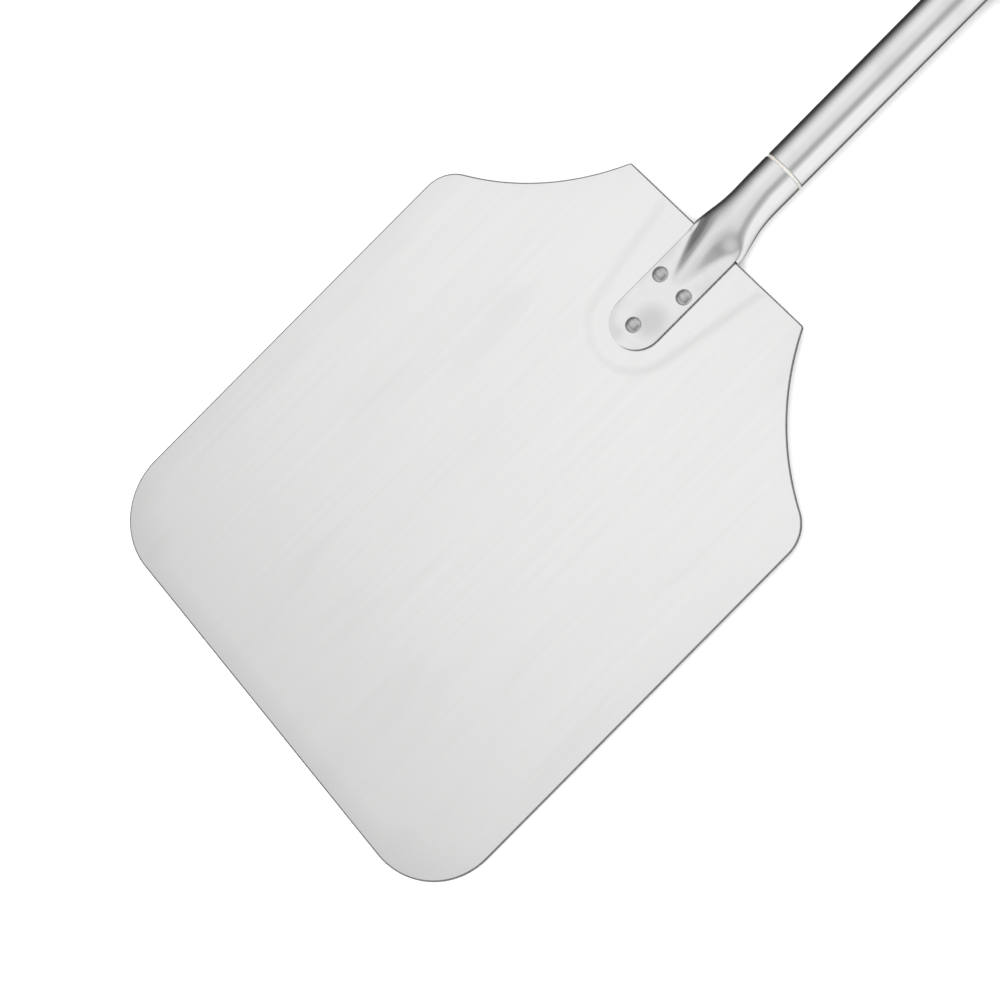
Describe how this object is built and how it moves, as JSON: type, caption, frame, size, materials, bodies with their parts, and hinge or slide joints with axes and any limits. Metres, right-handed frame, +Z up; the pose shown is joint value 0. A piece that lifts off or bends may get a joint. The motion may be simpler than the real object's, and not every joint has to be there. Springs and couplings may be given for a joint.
{
  "type": "pizza peel",
  "caption": "Flat aluminium blade with rounded front corners, riveted to a flattened tube socket that takes a screw-in tube handle with a beech grip.",
  "frame": {"origin": "middle of the footprint, on the surface the peel lies on", "axes": "+X along the peel from the blade's front edge to the handle, +Y across it, +Z up; the blade is pitched 1.37 degrees, front edge down, because the peel lies on its front edge and on the socket"},
  "size_m": [0.6604, 0.3088, 0.0343],
  "materials": {
    "sheet": "satin mill finish",
    "tube": "bright drawn",
    "rivet": "bright, lightly dulled",
    "steel": "turned",
    "nylon": "natural",
    "beech": "oiled"
  },
  "bodies": {
    "head": {"blade": "sheet", "socket_tube": "tube", "rivet_front": "rivet", "rivet_left": "rivet", "rivet_right": "rivet", "socket_bush": "tube", "bush_pin": "steel"},
    "washer": {"joint_washer": "nylon"},
    "handle": {"threaded_spigot": "steel", "spigot_pin": "steel", "handle_tube": "tube", "ferrule": "tube", "grip": "beech", "grip_pin": "steel", "hang_eyelet": "steel"}
  },
  "joints": [
    {"name": "handle_travel", "type": "slide", "parent": "head", "child": "washer", "axis": [0.9997, 0, 0.0239], "range_m": [0, 0.028]},
    {"name": "handle_turn", "type": "hinge", "parent": "washer", "child": "handle", "pos_m": [0.07667, 0, 0.01281], "axis": [0.9997, 0, 0.0239], "range_deg": [0, 2520]}
  ],
  "couplings": [
    {"joint": "handle_turn", "follows": "handle_travel", "rad_per_m": 1570.8}
  ]
}
